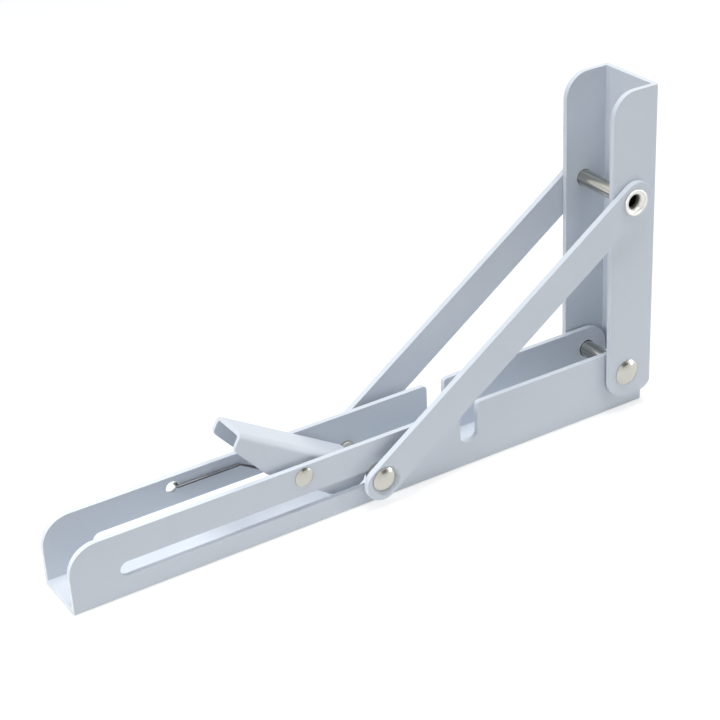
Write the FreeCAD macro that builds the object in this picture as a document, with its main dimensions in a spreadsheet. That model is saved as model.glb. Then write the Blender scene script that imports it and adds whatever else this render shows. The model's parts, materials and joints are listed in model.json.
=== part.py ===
"""Folding shelf bracket, open at a right angle and lying on the web of its shelf arm.

Frame: +X towards the wall, +Z up, y = 0 on the middle plane, z = 0 on the arm's shelf face.
The side towards -Y is called near and the side towards +Y is called far.
"""
import FreeCAD
import Part
import Sketcher
import math
import os

SIZES = {
    # overall
    "reach": 300.0,
    "height": 160.0,
    # folded sheet channels
    "sheet_gauge": 2.5,
    "bend_outside": 1.3,
    "bend_inside": 0.5,
    "arm_width": 29.0,
    "arm_flange": 31.0,
    "arm_wall_gap": 3.2,
    "tip_corner": 13.0,
    "channel_gap": 1.0,
    "channel_depth": 25.0,
    "channel_foot": 8.0,
    "web_foot": 15.5,
    "top_corner": 12.0,
    "foot_corner": 9.5,
    "back_corner": 7.0,
    # fold pivot and top tube
    "fold_inset": 14.7,
    "fold_height": 20.2,
    "pivot_rise": 88.3,
    "fold_shaft_radius": 4.0,
    "fold_head_rim": 2.4,
    "fold_head_dome": 2.4,
    "fold_washer_rim": 3.0,
    "tube_radius": 4.0,
    "tube_wall": 1.0,
    # struts
    "strut_gauge": 3.0,
    "strut_width": 16.5,
    "strut_tail": 9.9,
    "strut_gap": 0.2,
    "strut_end_flat": 0.05,
    "dish_margin": 0.65,
    "dish_depth": 1.4,
    "rim_width": 2.3,
    "rim_height": 1.4,
    "rim_lip": 1.4,
    # slots, notches and slide rivets
    "slide_height": 13.2,
    "tip_margin": 22.2,
    "slot_end": 4.2,
    "slide_radius": 3.48,
    "slide_head_rim": 2.3,
    "slide_head_dome": 2.2,
    "slide_head_play": 0.4,
    "collar_rim": 0.8,
    "slide_washer_rim": 2.9,
    "notch_play": 0.8,
    "notch_floor_play": 3.8,
    "notch_corner": 2.0,
    # release lever
    "lever_gauge": 1.8,
    "lever_side_gap": 1.8,
    "lever_bend_outside": 3.0,
    "lever_bend_inside": 1.2,
    "lever_slope": 31.1,
    "lever_plate_rise": 11.2,
    "lever_handle": 37.0,
    "lever_nose": 30.2,
    "lever_lip": 8.1,
    "lever_waist": 16.2,
    "lever_waist_drop": 3.7,
    "lever_foot": 22.3,
    "lever_foot_drop": 6.6,
    "lever_toe": 1.2,
    "lever_toe_low": 0.5,
    "lever_toe_middle": 3.1,
    "lever_toe_high": 6.6,
    "lever_reach": 37.0,
    "lever_height": 25.6,
    "lever_shaft_radius": 2.5,
    "lever_head_rim": 2.0,
    "lever_head_dome": 1.6,
    "lever_washer_rim": 1.9,
    "lever_sleeve_wall": 1.3,
    # lever spring
    "spring_wire": 1.2,
    "spring_turns": 4.0,
    "spring_gap": 0.25,
    "spring_lift": 13.6,
    "spring_leg": 50.0,
    "spring_rise_start": 4.0,
    "spring_rise_end": 17.0,
    "spring_hole_radius": 3.0,
    # screw holes
    "screw_radius": 2.75,
    "screw_pitch": 50.0,
    "wall_screw_height": 40.0,
    "shelf_screw_inset": 132.0,
    # fits
    "shaft_play": 0.07,
    "fold_play": 0.3,
    "face_play": 0.05,
    "stud_play": 0.35,
}

doc = FreeCAD.newDocument("shelf_bracket")
sheet = doc.addObject("Spreadsheet::Sheet", "Sizes")
for row, (name, number) in enumerate(SIZES.items(), start=1):
    sheet.set(f"A{row}", name)
    sheet.set(f"B{row}", str(number))
    sheet.setAlias(f"B{row}", name)
doc.recompute()

# Places that follow from the sizes, written as expressions.
WALL_FACE = "Sizes.reach / 2"
TIP = f"(-{WALL_FACE})"
HEEL = f"({WALL_FACE} - Sizes.arm_wall_gap)"
FOLD_X = f"({WALL_FACE} - Sizes.fold_inset)"
FOLD_Z = "Sizes.fold_height"
TUBE_Z = "(Sizes.fold_height + Sizes.pivot_rise)"
NOTCH_X = f"({FOLD_X} - Sizes.pivot_rise)"
NOTCH_FLOOR = "(Sizes.fold_height - Sizes.tube_radius - Sizes.notch_floor_play)"
NOTCH_HALF = "(Sizes.tube_radius + Sizes.notch_play)"

# The folded bracket sets the struts' length, and the length sets the open place.
SLIDE_Z = "Sizes.slide_height"
SLOT_RADIUS = "(Sizes.slide_radius + Sizes.shaft_play)"
SLOT_TIP_X = f"({TIP} + Sizes.tip_margin + {SLOT_RADIUS})"
FOLDED_RUN = f"({NOTCH_X} - {SLOT_TIP_X} - Sizes.slot_end)"
FOLDED_RISE = f"({FOLD_Z} - {SLIDE_Z})"
STRUT_LENGTH = f"sqrt({FOLDED_RUN} ^ 2 + {FOLDED_RISE} ^ 2)"
STRUT_RISE = f"({TUBE_Z} - {SLIDE_Z})"
STRUT_RUN = f"sqrt({FOLDED_RUN} ^ 2 + {FOLDED_RISE} ^ 2 - {STRUT_RISE} ^ 2)"
SLIDE_X = f"({FOLD_X} - {STRUT_RUN})"

# Distances from the middle plane, from the inside out.
ARM_SIDE = "(Sizes.arm_width / 2)"
ARM_INSIDE = f"({ARM_SIDE} - Sizes.sheet_gauge)"
LEVER_SIDE = f"({ARM_INSIDE} - Sizes.lever_side_gap)"
LEVER_INSIDE = f"({LEVER_SIDE} - Sizes.lever_gauge)"
CHANNEL_INSIDE = f"({ARM_SIDE} + Sizes.channel_gap)"
CHANNEL_SIDE = f"({CHANNEL_INSIDE} + Sizes.sheet_gauge)"
STRUT_INSIDE = f"({CHANNEL_SIDE} + Sizes.strut_gap)"
STRUT_SIDE = f"({STRUT_INSIDE} + Sizes.strut_gauge)"
DISH_INSIDE = f"({STRUT_INSIDE} - Sizes.dish_depth)"
DISH_SEAT = f"({STRUT_SIDE} - Sizes.dish_depth)"

# Round pieces.
SLIDE_HEAD = "(Sizes.slide_radius + Sizes.slide_head_rim)"
DISH_FLOOR = f"({SLIDE_HEAD} + Sizes.slide_head_play)"
DISH_RADIUS = "(Sizes.strut_width / 2 - Sizes.dish_margin)"
TUBE_BORE = "(Sizes.tube_radius - Sizes.tube_wall)"
RIM_RADIUS = "(Sizes.tube_radius + Sizes.rim_width)"
LEVER_BORE = "(Sizes.lever_shaft_radius + Sizes.shaft_play)"
SLEEVE_RADIUS = f"({LEVER_BORE} + Sizes.lever_sleeve_wall)"

LEVER_X = f"({SLIDE_X} - Sizes.lever_reach)"
LEVER_Z = "Sizes.lever_height"
LEVER_TO_SLIDE = f"sqrt(Sizes.lever_reach ^ 2 + ({LEVER_Z} - {SLIDE_Z}) ^ 2)"
NOSE_REACH = f"({LEVER_TO_SLIDE} - Sizes.slide_radius - Sizes.face_play)"


def value(expression):
    """The number that an expression or a plain number gives."""
    if isinstance(expression, (int, float)):
        return float(expression)
    return float(sheet.evalExpression(expression))


# Bodies and sketches


def new_body(node, place=None):
    """A body with the node's name; place is (x, y, z) of its own origin, as expressions."""
    body = doc.addObject("PartDesign::Body", node)
    body.Label = node
    if place:
        for letter, expression in zip("xyz", place):
            body.setExpression(f"Placement.Base.{letter}", str(expression))
    return body


def new_sketch(body, name, plane, lift=None):
    """A sketch on one of the body's own planes, lifted along the plane's normal."""
    sketch = body.newObject("Sketcher::SketchObject", f"{body.Name}_{name}")
    planes = {item.Role: item for item in body.Origin.OriginFeatures}
    sketch.AttachmentSupport = [(planes[f"{plane}_Plane"], "")]
    sketch.MapMode = "FlatFace"
    if lift:
        sketch.setExpression("AttachmentOffset.Base.z", lift)
    return sketch


def pin(sketch, kind, edge, point, expression):
    """Tie one point's place, or an edge's radius, to an expression."""
    if kind == "Radius":
        rule = Sketcher.Constraint(kind, edge, value(expression))
    else:
        rule = Sketcher.Constraint(kind, edge, point, value(expression))
    index = sketch.addConstraint(rule)
    sketch.setExpression(f"Constraints[{index}]", str(expression))


def draw_polygon(sketch, corners):
    """Straight edges through the corners, each corner pinned from the sketch's origin."""
    points = [FreeCAD.Vector(value(across), value(up), 0) for across, up in corners]
    count = len(points)
    first = sketch.GeometryCount
    for index in range(count):
        sketch.addGeometry(Part.LineSegment(points[index], points[(index + 1) % count]))
    for index in range(count):
        follower = first + (index + 1) % count
        sketch.addConstraint(Sketcher.Constraint("Coincident", first + index, 2, follower, 1))
    for index, (across, up) in enumerate(corners):
        pin(sketch, "DistanceX", first + index, 1, across)
        pin(sketch, "DistanceY", first + index, 1, up)


def draw_box(sketch, left, right, low, high):
    """A rectangle between four places."""
    draw_polygon(sketch, [(left, low), (right, low), (right, high), (left, high)])


def draw_circle(sketch, across, up, radius):
    """A circle pinned by its middle and its radius."""
    middle = FreeCAD.Vector(value(across), value(up), 0)
    edge = sketch.addGeometry(Part.Circle(middle, FreeCAD.Vector(0, 0, 1), value(radius)))
    pin(sketch, "DistanceX", edge, 3, across)
    pin(sketch, "DistanceY", edge, 3, up)
    pin(sketch, "Radius", edge, 0, radius)


def draw_slot(sketch, left, right, up, radius):
    """A level slot with round ends; left and right are the middles of its ends."""
    normal = FreeCAD.Vector(0, 0, 1)
    size = value(radius)
    start = FreeCAD.Vector(value(left), value(up), 0)
    end = FreeCAD.Vector(value(right), value(up), 0)
    rise = FreeCAD.Vector(0, size, 0)
    left_arc = sketch.addGeometry(
        Part.ArcOfCircle(Part.Circle(start, normal, size), math.pi / 2, 3 * math.pi / 2)
    )
    low_line = sketch.addGeometry(Part.LineSegment(start - rise, end - rise))
    right_arc = sketch.addGeometry(
        Part.ArcOfCircle(Part.Circle(end, normal, size), -math.pi / 2, math.pi / 2)
    )
    high_line = sketch.addGeometry(Part.LineSegment(end + rise, start + rise))
    loop = [(left_arc, low_line), (low_line, right_arc), (right_arc, high_line), (high_line, left_arc)]
    for before, after in loop:
        sketch.addConstraint(Sketcher.Constraint("Tangent", before, 2, after, 1))
    sketch.addConstraint(Sketcher.Constraint("Equal", left_arc, right_arc))
    pin(sketch, "DistanceX", left_arc, 3, left)
    pin(sketch, "DistanceY", left_arc, 3, up)
    pin(sketch, "DistanceX", right_arc, 3, right)
    pin(sketch, "DistanceY", right_arc, 3, up)
    pin(sketch, "Radius", left_arc, 0, radius)


def draw_corner(sketch, across, up, radius):
    """What rounding a lower right corner cuts away, drawn to one radius beyond the sheet."""
    left = f"{across} - {radius}"
    top = f"{up} + {radius}"
    beyond = f"{across} + {radius}"
    below = f"{up} - {radius}"
    corners = [(across, top), (beyond, top), (beyond, below), (left, below), (left, up)]
    points = [FreeCAD.Vector(value(x), value(y), 0) for x, y in corners]
    first = sketch.GeometryCount
    for start, end in zip(points, points[1:]):
        sketch.addGeometry(Part.LineSegment(start, end))
    circle = Part.Circle(FreeCAD.Vector(value(left), value(top), 0), FreeCAD.Vector(0, 0, 1), value(radius))
    arc = sketch.addGeometry(Part.ArcOfCircle(circle, -math.pi / 2, 0))
    for index in range(first, arc):
        sketch.addConstraint(Sketcher.Constraint("Coincident", index, 2, index + 1, 1))
    sketch.addConstraint(Sketcher.Constraint("Coincident", arc, 2, first, 1))
    for index, (x, y) in enumerate(corners):
        pin(sketch, "DistanceX", first + index, 1, x)
        pin(sketch, "DistanceY", first + index, 1, y)
    pin(sketch, "DistanceX", arc, 3, left)


def draw_dome(sketch, profile, rim, height, side):
    """Half of a lathe profile: straight edges, then an arc that closes it on the axis.

    profile runs from the axis to the dome's rim, as (radius, along) expressions. The arc
    goes from the rim to the axis, height further along, and side says which way it bulges.
    """
    across, along = profile[-1]
    radius = value(rim)
    rise = value(height)
    sphere = (radius * radius + rise * rise) / (2 * rise)
    top = f"{along} + {side} * {height}"
    middle = FreeCAD.Vector(0, value(top) - side * sphere, 0)
    sweep = math.asin(radius / sphere)
    circle = Part.Circle(middle, FreeCAD.Vector(0, 0, 1), sphere)
    up = math.pi / 2 * side
    first = sketch.GeometryCount
    points = [FreeCAD.Vector(value(x), value(y), 0) for x, y in profile]
    for start, end in zip(points, points[1:]):
        sketch.addGeometry(Part.LineSegment(start, end))
    ends = (up - sweep, up) if side > 0 else (up, up + sweep)
    arc = sketch.addGeometry(Part.ArcOfCircle(circle, *ends))
    closing = sketch.addGeometry(Part.LineSegment(FreeCAD.Vector(0, value(top), 0), points[0]))
    last = first + len(points) - 2
    for index in range(first, last):
        sketch.addConstraint(Sketcher.Constraint("Coincident", index, 2, index + 1, 1))
    if side > 0:
        sketch.addConstraint(Sketcher.Constraint("Coincident", last, 2, arc, 1))
        sketch.addConstraint(Sketcher.Constraint("Coincident", arc, 2, closing, 1))
    else:
        sketch.addConstraint(Sketcher.Constraint("Coincident", last, 2, arc, 2))
        sketch.addConstraint(Sketcher.Constraint("Coincident", arc, 1, closing, 1))
    sketch.addConstraint(Sketcher.Constraint("Coincident", closing, 2, first, 1))
    for index, (x, y) in enumerate(profile[:-1]):
        pin(sketch, "DistanceX", first + index, 1, x)
        pin(sketch, "DistanceY", first + index, 1, y)
    pin(sketch, "DistanceX", last, 2, across)
    pin(sketch, "DistanceY", last, 2, along)
    pin(sketch, "DistanceX", closing, 1, 0)
    pin(sketch, "DistanceY", closing, 1, top)
    pin(sketch, "DistanceX", arc, 3, 0)


# Solid features


def pad(body, sketch, length, both_ways=True):
    """Add the sketch's area as a solid."""
    feature = body.newObject("PartDesign::Pad", f"{sketch.Name}_pad")
    feature.Profile = sketch
    feature.SideType = "Symmetric" if both_ways else "One side"
    feature.setExpression("Length", length)
    return feature


def pocket(body, sketch, length, both_ways=True):
    """Cut the sketch's area away, and make sure that something was cut."""
    doc.recompute()
    before = body.Shape.Volume
    feature = body.newObject("PartDesign::Pocket", f"{sketch.Name}_pocket")
    feature.Profile = sketch
    feature.SideType = "Symmetric" if both_ways else "One side"
    feature.setExpression("Length", length)
    doc.recompute()
    if not body.Shape.Volume < before:
        raise RuntimeError(f"{feature.Name} cuts nothing")
    return feature


def lathe(body, sketch):
    """Turn the sketch's area about its own upright axis."""
    feature = body.newObject("PartDesign::Revolution", f"{sketch.Name}_lathe")
    feature.Profile = sketch
    feature.ReferenceAxis = (sketch, ["V_Axis"])
    return feature


def fillet(body, name, radius, wanted):
    """Round the straight edges whose direction and middle pass the test."""
    doc.recompute()
    base = body.Tip
    edges = []
    for index, edge in enumerate(base.Shape.Edges, start=1):
        if edge.Curve.TypeId != "Part::GeomLine":
            continue
        way = edge.tangentAt(edge.FirstParameter)
        middle = edge.valueAt((edge.FirstParameter + edge.LastParameter) / 2)
        if wanted(way, middle):
            edges.append(f"Edge{index}")
    if not edges:
        raise RuntimeError(f"{name} finds no edge")
    feature = body.newObject("PartDesign::Fillet", f"{body.Name}_{name}")
    feature.Base = (base, edges)
    feature.setExpression("Radius", radius)
    return feature


def near_to(number, expression):
    """True where a number lies on an expression's place."""
    return abs(number - value(expression)) < 0.01


# Shelf arm


def make_shelf_arm():
    """A channel with its web on z = 0: slots, notches, pivot holes and screw holes."""
    body = new_body("shelf_arm")
    outline = new_sketch(body, "outline", "XZ")
    draw_box(outline, TIP, HEEL, 0, "Sizes.arm_flange")
    pad(body, outline, "Sizes.arm_width")
    fillet(
        body, "bends", "Sizes.bend_outside",
        lambda way, at: abs(way.x) > 0.9 and at.z < 0.01,
    )
    trough = new_sketch(body, "trough", "YZ")
    draw_box(trough, f"-{ARM_INSIDE}", ARM_INSIDE, "Sizes.sheet_gauge", "2 * Sizes.arm_flange")
    pocket(body, trough, "2 * Sizes.reach")
    fillet(
        body, "inner_bends", "Sizes.bend_inside",
        lambda way, at: abs(way.x) > 0.9 and near_to(at.z, "Sizes.sheet_gauge"),
    )
    fillet(
        body, "tip_corners", "Sizes.tip_corner",
        lambda way, at: abs(way.y) > 0.9 and near_to(at.x, TIP) and near_to(at.z, "Sizes.arm_flange"),
    )
    fillet(
        body, "heel_corners", f"Sizes.arm_flange - {FOLD_Z}",
        lambda way, at: abs(way.y) > 0.9 and near_to(at.x, HEEL) and near_to(at.z, "Sizes.arm_flange"),
    )
    slots = new_sketch(body, "slots", "XZ")
    draw_slot(slots, SLOT_TIP_X, SLIDE_X, SLIDE_Z, SLOT_RADIUS)
    pocket(body, slots, "2 * Sizes.arm_width")
    notches = new_sketch(body, "notches", "XZ")
    draw_box(
        notches, f"{NOTCH_X} - {NOTCH_HALF}", f"{NOTCH_X} + {NOTCH_HALF}",
        NOTCH_FLOOR, "2 * Sizes.arm_flange",
    )
    pocket(body, notches, "2 * Sizes.arm_width")
    fillet(
        body, "notch_floors", "Sizes.tube_radius",
        lambda way, at: abs(way.y) > 0.9 and near_to(at.z, NOTCH_FLOOR),
    )
    fillet(
        body, "notch_mouths", "Sizes.notch_corner",
        lambda way, at: abs(way.y) > 0.9 and near_to(at.z, "Sizes.arm_flange")
        and near_to(abs(at.x - value(NOTCH_X)), NOTCH_HALF),
    )
    pivots = new_sketch(body, "pivots", "XZ")
    draw_circle(pivots, FOLD_X, FOLD_Z, "Sizes.fold_shaft_radius + Sizes.fold_play")
    draw_circle(pivots, LEVER_X, LEVER_Z, "Sizes.lever_shaft_radius")
    pocket(body, pivots, "2 * Sizes.arm_width")
    anchor = new_sketch(body, "spring_anchor", "XZ", f"-{ARM_SIDE}")
    draw_circle(anchor, f"{LEVER_X} - Sizes.spring_leg", LEVER_Z, "Sizes.spring_hole_radius")
    pocket(body, anchor, "4 * Sizes.sheet_gauge")
    screws = new_sketch(body, "screws", "XY")
    for step in range(3):
        place = f"{WALL_FACE} - Sizes.shelf_screw_inset + {step} * Sizes.screw_pitch"
        draw_circle(screws, place, 0, "Sizes.screw_radius")
    pocket(body, screws, "4 * Sizes.sheet_gauge")
    return body


# Wall channel


def make_wall_channel():
    """A channel with its web on the wall's plane; its flanges hold the arm's flanges."""
    body = new_body("wall_channel")
    front = f"({WALL_FACE} - Sizes.channel_depth)"
    outline = new_sketch(body, "outline", "XZ")
    draw_box(outline, front, WALL_FACE, "Sizes.channel_foot", "Sizes.height")
    pad(body, outline, f"2 * {CHANNEL_SIDE}")
    fillet(
        body, "bends", "Sizes.bend_outside",
        lambda way, at: abs(way.z) > 0.9 and near_to(at.x, WALL_FACE),
    )
    web_inside = f"{WALL_FACE} - Sizes.sheet_gauge"
    trough = new_sketch(body, "trough", "XY")
    draw_box(trough, f"{front} - Sizes.channel_depth", web_inside, f"-{CHANNEL_INSIDE}", CHANNEL_INSIDE)
    pocket(body, trough, "3 * Sizes.height")
    fillet(
        body, "inner_bends", "Sizes.bend_inside",
        lambda way, at: abs(way.z) > 0.9 and near_to(at.x, web_inside),
    )
    foot = new_sketch(body, "web_foot", "YZ", WALL_FACE)
    draw_box(foot, f"-{CHANNEL_INSIDE}", CHANNEL_INSIDE, 0, "Sizes.web_foot")
    pocket(body, foot, "4 * Sizes.sheet_gauge")
    fillet(
        body, "top_corners", "Sizes.top_corner",
        lambda way, at: abs(way.y) > 0.9 and near_to(at.x, front) and near_to(at.z, "Sizes.height"),
    )
    fillet(
        body, "foot_corners", "Sizes.foot_corner",
        lambda way, at: abs(way.y) > 0.9 and near_to(at.x, front) and near_to(at.z, "Sizes.channel_foot"),
    )
    back = new_sketch(body, "back_corners", "XZ")
    draw_corner(back, WALL_FACE, "Sizes.channel_foot", "Sizes.back_corner")
    pocket(body, back, f"4 * {CHANNEL_SIDE}")
    pivots = new_sketch(body, "pivots", "XZ")
    draw_circle(pivots, FOLD_X, FOLD_Z, "Sizes.fold_shaft_radius")
    draw_circle(pivots, FOLD_X, TUBE_Z, "Sizes.tube_radius")
    pocket(body, pivots, f"4 * {CHANNEL_SIDE}")
    screws = new_sketch(body, "screws", "YZ", WALL_FACE)
    for step in range(3):
        draw_circle(screws, 0, f"Sizes.wall_screw_height + {step} * Sizes.screw_pitch", "Sizes.screw_radius")
    pocket(body, screws, "4 * Sizes.sheet_gauge")
    return body


# Struts


def turn_to_strut(body, side):
    """Stand a strut's own frame, long side along its X, on the open bracket's strut line."""
    body.Placement = FreeCAD.Placement(
        FreeCAD.Vector(0, 0, 0), FreeCAD.Rotation(FreeCAD.Vector(0, -1, 0), 1)
    )
    body.setExpression("Placement.Base.x", SLIDE_X)
    body.setExpression("Placement.Base.y", f"{side} * {STRUT_INSIDE}")
    body.setExpression("Placement.Base.z", SLIDE_Z)
    body.setExpression("Placement.Rotation.Angle", f"atan({STRUT_RISE} / {STRUT_RUN})")


def make_strut(node, side):
    """A flat bar with round ends; its lower end is pressed in to meet the arm."""
    body = new_body(node)
    turn_to_strut(body, side)
    outward = side > 0
    bar = new_sketch(body, "bar", "XZ")
    half = "(Sizes.strut_width / 2)"
    draw_box(bar, "-Sizes.strut_tail", f"{STRUT_LENGTH} + Sizes.strut_tail", f"-{half}", half)
    plate = pad(body, bar, "Sizes.strut_gauge", both_ways=False)
    plate.Reversed = outward
    fillet(
        body, "ends", f"{half} - Sizes.strut_end_flat",
        lambda way, at: abs(way.y) > 0.9,
    )
    inward = FreeCAD.Rotation(FreeCAD.Vector(1, 0, 0), 90 * side)
    cones = {
        "boss": ("PartDesign::AdditiveCone", "0"),
        "dish": ("PartDesign::SubtractiveCone", f"{side} * Sizes.strut_gauge"),
    }
    for name, (kind, face) in cones.items():
        cone = body.newObject(kind, f"{node}_{name}")
        cone.setExpression("Radius1", DISH_RADIUS)
        cone.setExpression("Radius2", DISH_FLOOR)
        cone.setExpression("Height", "Sizes.dish_depth")
        cone.Placement = FreeCAD.Placement(FreeCAD.Vector(0, 0, 0), inward)
        cone.setExpression("Placement.Base.y", face)
    holes = new_sketch(body, "holes", "XZ")
    draw_circle(holes, 0, 0, SLOT_RADIUS)
    draw_circle(holes, STRUT_LENGTH, 0, "Sizes.tube_radius")
    pocket(body, holes, "6 * Sizes.strut_gauge")
    return body


def make_tube_rim(node, side):
    """The rolled end of the top tube that holds a strut on: a barrel with a flared rim."""
    body = new_body(node, (FOLD_X, 0, TUBE_Z))
    half = new_sketch(body, "half", "XY")
    top = f"({STRUT_SIDE} + Sizes.rim_height)"
    outline = [
        (TUBE_BORE, STRUT_INSIDE),
        ("Sizes.tube_radius", STRUT_INSIDE),
        ("Sizes.tube_radius", STRUT_SIDE),
        (RIM_RADIUS, STRUT_SIDE),
        (RIM_RADIUS, f"({STRUT_SIDE} + Sizes.rim_height / 2)"),
        (f"{RIM_RADIUS} - Sizes.rim_height / 2", top),
        (f"{RIM_RADIUS} - Sizes.rim_lip", top),
        (TUBE_BORE, f"({STRUT_SIDE} - Sizes.rim_height / 2)"),
    ]
    draw_polygon(half, [(across, f"{side} * {along}") for across, along in outline])
    lathe(body, half)
    return body


# Turned pieces


def make_ring(node, place, outer, bore, low, high):
    """A sleeve, tube or washer about a line across the bracket, from y = low to y = high."""
    body = new_body(node, place)
    half = new_sketch(body, "half", "XY")
    draw_box(half, bore, outer, low, high)
    lathe(body, half)
    return body


def make_cross_rivet(node, place, shaft, head, dome, seat):
    """A rivet right across the bracket with a domed head outside each seat."""
    body = new_body(node, place)
    for name, side in (("near", -1), ("far", 1)):
        half = new_sketch(body, name, "XY")
        profile = [(0, 0), (shaft, 0), (shaft, f"{side} * {seat}"), (head, f"{side} * {seat}")]
        draw_dome(half, profile, head, dome, side)
        lathe(body, half)
    return body


def make_slide_rivet(node, side):
    """A stud that runs in a slot: a collar inside the arm and a domed head in the dish."""
    body = new_body(node, (SLIDE_X, 0, SLIDE_Z))
    half = new_sketch(body, "half", "XY")
    collar_out = f"{side} * ({ARM_INSIDE} - Sizes.face_play)"
    collar_in = f"{side} * ({LEVER_SIDE} + Sizes.stud_play)"
    collar = f"{SLOT_RADIUS} + Sizes.collar_rim"
    seat = f"{side} * ({DISH_SEAT} + Sizes.face_play)"
    profile = [
        (0, collar_in),
        (collar, collar_in),
        (collar, collar_out),
        ("Sizes.slide_radius", collar_out),
        ("Sizes.slide_radius", seat),
        (SLIDE_HEAD, seat),
    ]
    draw_dome(half, profile, SLIDE_HEAD, "Sizes.slide_head_dome", side)
    lathe(body, half)
    return body


# Release lever


def make_release_lever():
    """A folded sheet lever, drawn with its top plate level and then tilted about its rivet.

    Two side walls hang from the plate. Their rounded ends stop short of the slide rivets.
    """
    body = new_body("release_lever")
    body.Placement = FreeCAD.Placement(
        FreeCAD.Vector(0, 0, 0), FreeCAD.Rotation(FreeCAD.Vector(0, 1, 0), 1)
    )
    body.setExpression("Placement.Base.x", LEVER_X)
    body.setExpression("Placement.Base.z", LEVER_Z)
    body.setExpression("Placement.Rotation.Angle", "Sizes.lever_slope")
    plate = "Sizes.lever_plate_rise"
    side = new_sketch(body, "side", "XZ")
    draw_polygon(side, [
        ("-Sizes.lever_handle", plate),
        ("-Sizes.lever_handle", f"{plate} - Sizes.lever_lip"),
        ("-Sizes.lever_waist", "-Sizes.lever_waist_drop"),
        ("Sizes.lever_foot", "-Sizes.lever_foot_drop"),
        (f"{NOSE_REACH} - Sizes.lever_toe", "Sizes.lever_toe_low"),
        (NOSE_REACH, "Sizes.lever_toe_middle"),
        (f"{NOSE_REACH} - Sizes.lever_toe / 2", "Sizes.lever_toe_high"),
        ("Sizes.lever_nose", plate),
    ])
    pad(body, side, f"2 * {LEVER_SIDE}")
    fillet(
        body, "bends", "Sizes.lever_bend_outside",
        lambda way, at: abs(way.x) > 0.99 and near_to(at.z, plate),
    )
    under = f"{plate} - Sizes.lever_gauge"
    inside = new_sketch(body, "inside", "XZ")
    draw_box(inside, "-2 * Sizes.lever_handle", "2 * Sizes.lever_handle", f"-{plate} * 3", under)
    pocket(body, inside, f"2 * {LEVER_INSIDE}")
    fillet(
        body, "inner_bends", "Sizes.lever_bend_inside",
        lambda way, at: abs(way.x) > 0.99 and near_to(at.z, under),
    )
    fillet(
        body, "handle_corners", "Sizes.lever_lip / 3",
        lambda way, at: abs(way.y) > 0.9 and near_to(at.x, "-Sizes.lever_handle")
        and near_to(at.z, f"{plate} - Sizes.lever_lip"),
    )
    pivot = new_sketch(body, "pivot", "XZ")
    draw_circle(pivot, 0, 0, LEVER_BORE)
    pocket(body, pivot, f"4 * {LEVER_SIDE}")
    return body


def round_run(points, radius):
    """Round wire through the points: a straight run between each two, a ball at each bend."""
    runs = []
    for start, end in zip(points, points[1:]):
        runs.append(Part.makeCylinder(radius, (end - start).Length, start, end - start))
    for bend in points[1:-1]:
        runs.append(Part.makeSphere(radius, bend))
    return runs


def make_lever_spring():
    """A wound spring on the lever's sleeve, drawn about the lever's rivet.

    Its short leg lifts the handle's plate; its long leg runs along the far flange and
    hooks into the hole there.
    """
    wire = value("Sizes.spring_wire") / 2
    pitch = value("Sizes.spring_wire + Sizes.spring_gap")
    radius = value(f"{SLEEVE_RADIUS} + Sizes.spring_gap") + wire
    lift = math.radians(value("Sizes.lever_slope + Sizes.spring_lift"))
    turns = value("Sizes.spring_turns") + 0.5 - lift / (2 * math.pi)
    length = pitch * turns
    helix = Part.makeHelix(pitch, length, radius)
    ring = Part.makeCircle(wire, FreeCAD.Vector(radius, 0, 0), FreeCAD.Vector(0, 1, 0))
    coil = Part.Wire(helix.Edges).makePipeShell([Part.Wire(ring)], True, True)
    coil.rotate(FreeCAD.Vector(), FreeCAD.Vector(0, 0, 1), math.degrees(lift) - 90)
    coil.rotate(FreeCAD.Vector(), FreeCAD.Vector(1, 0, 0), -90)
    coil.translate(FreeCAD.Vector(0, -length / 2, 0))
    short_start = FreeCAD.Vector(radius * math.sin(lift), -length / 2, radius * math.cos(lift))
    short_way = FreeCAD.Vector(-math.cos(lift), 0, math.sin(lift))
    under = value("Sizes.lever_plate_rise - Sizes.lever_gauge - Sizes.face_play") - wire
    slope = math.radians(value("Sizes.lever_slope"))
    plate_normal = FreeCAD.Vector(math.sin(slope), 0, math.cos(slope))
    short_length = (under - short_start.dot(plate_normal)) / short_way.dot(plate_normal)
    flange = value(ARM_INSIDE) - wire - value("Sizes.spring_gap")
    hook = value("Sizes.spring_hole_radius - Sizes.spring_leg") - wire - value("Sizes.face_play")
    long_leg = [
        FreeCAD.Vector(0, length / 2, -radius),
        FreeCAD.Vector(-value("Sizes.spring_rise_start"), length / 2, -radius),
        FreeCAD.Vector(-value("Sizes.spring_rise_end"), flange, 0),
        FreeCAD.Vector(hook, flange, 0),
        FreeCAD.Vector(hook, value(ARM_SIDE), 0),
    ]
    runs = round_run([short_start, short_start + short_way * short_length], wire)
    runs += round_run(long_leg, wire)
    spring = doc.addObject("Part::Feature", "lever_spring")
    spring.Label = "lever_spring"
    spring.Shape = coil.fuse(runs)
    spring.Placement = FreeCAD.Placement(
        FreeCAD.Vector(value(LEVER_X), 0, value(LEVER_Z)), FreeCAD.Rotation()
    )
    return spring


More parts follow.
